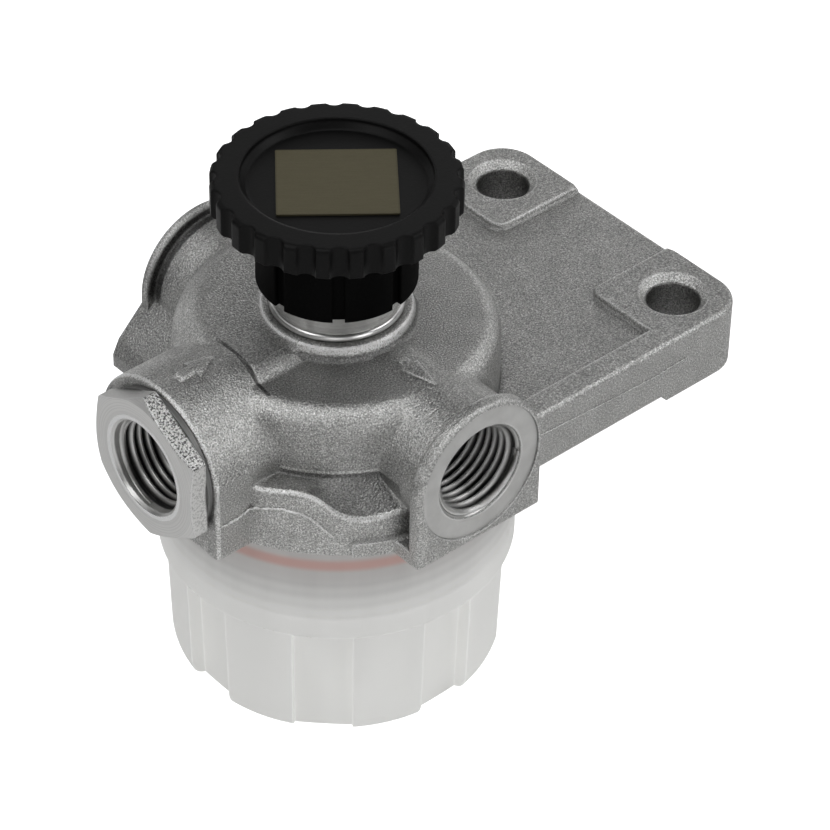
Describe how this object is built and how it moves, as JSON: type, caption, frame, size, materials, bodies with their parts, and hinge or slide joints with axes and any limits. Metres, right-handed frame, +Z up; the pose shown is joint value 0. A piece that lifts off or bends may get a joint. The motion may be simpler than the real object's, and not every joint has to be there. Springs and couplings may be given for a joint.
{
  "type": "fuel feed pump",
  "caption": "Cast fuel feed pump with a pull knob hand pump, threaded ports at the sides, a bolting plate and a see-through filter bowl screwed underneath.",
  "frame": {"origin": "centre of the filter bowl's underside, on the common axis of pump and bowl", "axes": "+Z up along the pump's axis towards the knob, +X towards the bolting plate, the inlet adapter faces -X and the outlet -Y"},
  "size_m": [0.104, 0.0702, 0.0946],
  "materials": {
    "cast_head": "shot-blasted die casting, fine grain",
    "plated_steel": "zinc plated, turned",
    "turned_metal": "turned, satin",
    "rod_steel": "ground",
    "black_plastic": "fine satin grain",
    "black_rubber": "moulded",
    "red_rubber": "moulded",
    "white_plastic": "moulded",
    "mesh_wire": "woven",
    "bowl_plastic": "milky, see-through",
    "brass_insert": "turned",
    "label_plate": "printed film, plain"
  },
  "bodies": {
    "head": {"pump_head": "cast_head", "inlet_adapter": "plated_steel", "adapter_seal": "black_rubber", "inlet_valve": "black_rubber", "outlet_valve": "black_rubber", "outlet_valve_plate": "plated_steel", "pump_barrel": "turned_metal", "barrel_seal": "black_rubber", "rod_bush": "white_plastic", "rod_seal": "black_rubber", "bowl_seal": "red_rubber", "strainer_seal": "black_rubber"},
    "plunger": {"piston": "white_plastic", "piston_seal": "black_rubber"},
    "knob": {"knob": "black_plastic", "knob_insert": "brass_insert", "knob_label": "label_plate", "piston_rod": "rod_steel", "piston_nut": "rod_steel"},
    "strainer": {"strainer_cage": "white_plastic", "strainer_mesh": "mesh_wire"},
    "bowl": {"filter_bowl": "bowl_plastic"}
  },
  "joints": [
    {"name": "plunger_stroke", "type": "slide", "parent": "head", "child": "plunger", "axis": [0, 0, 1], "range_m": [0, 0.015]},
    {"name": "knob_turn", "type": "hinge", "parent": "plunger", "child": "knob", "pos_m": [0, 0, 0], "axis": [0, 0, 1], "continuous": true},
    {"name": "bowl_travel", "type": "slide", "parent": "head", "child": "strainer", "axis": [0, 0, -1], "range_m": [0, 0.0084]},
    {"name": "bowl_turn", "type": "hinge", "parent": "strainer", "child": "bowl", "pos_m": [0, 0, 0], "axis": [0, 0, -1], "range_deg": [0, 1260]}
  ],
  "couplings": [
    {"joint": "bowl_travel", "follows": "bowl_turn", "m_per_rad": 0.00038193}
  ]
}
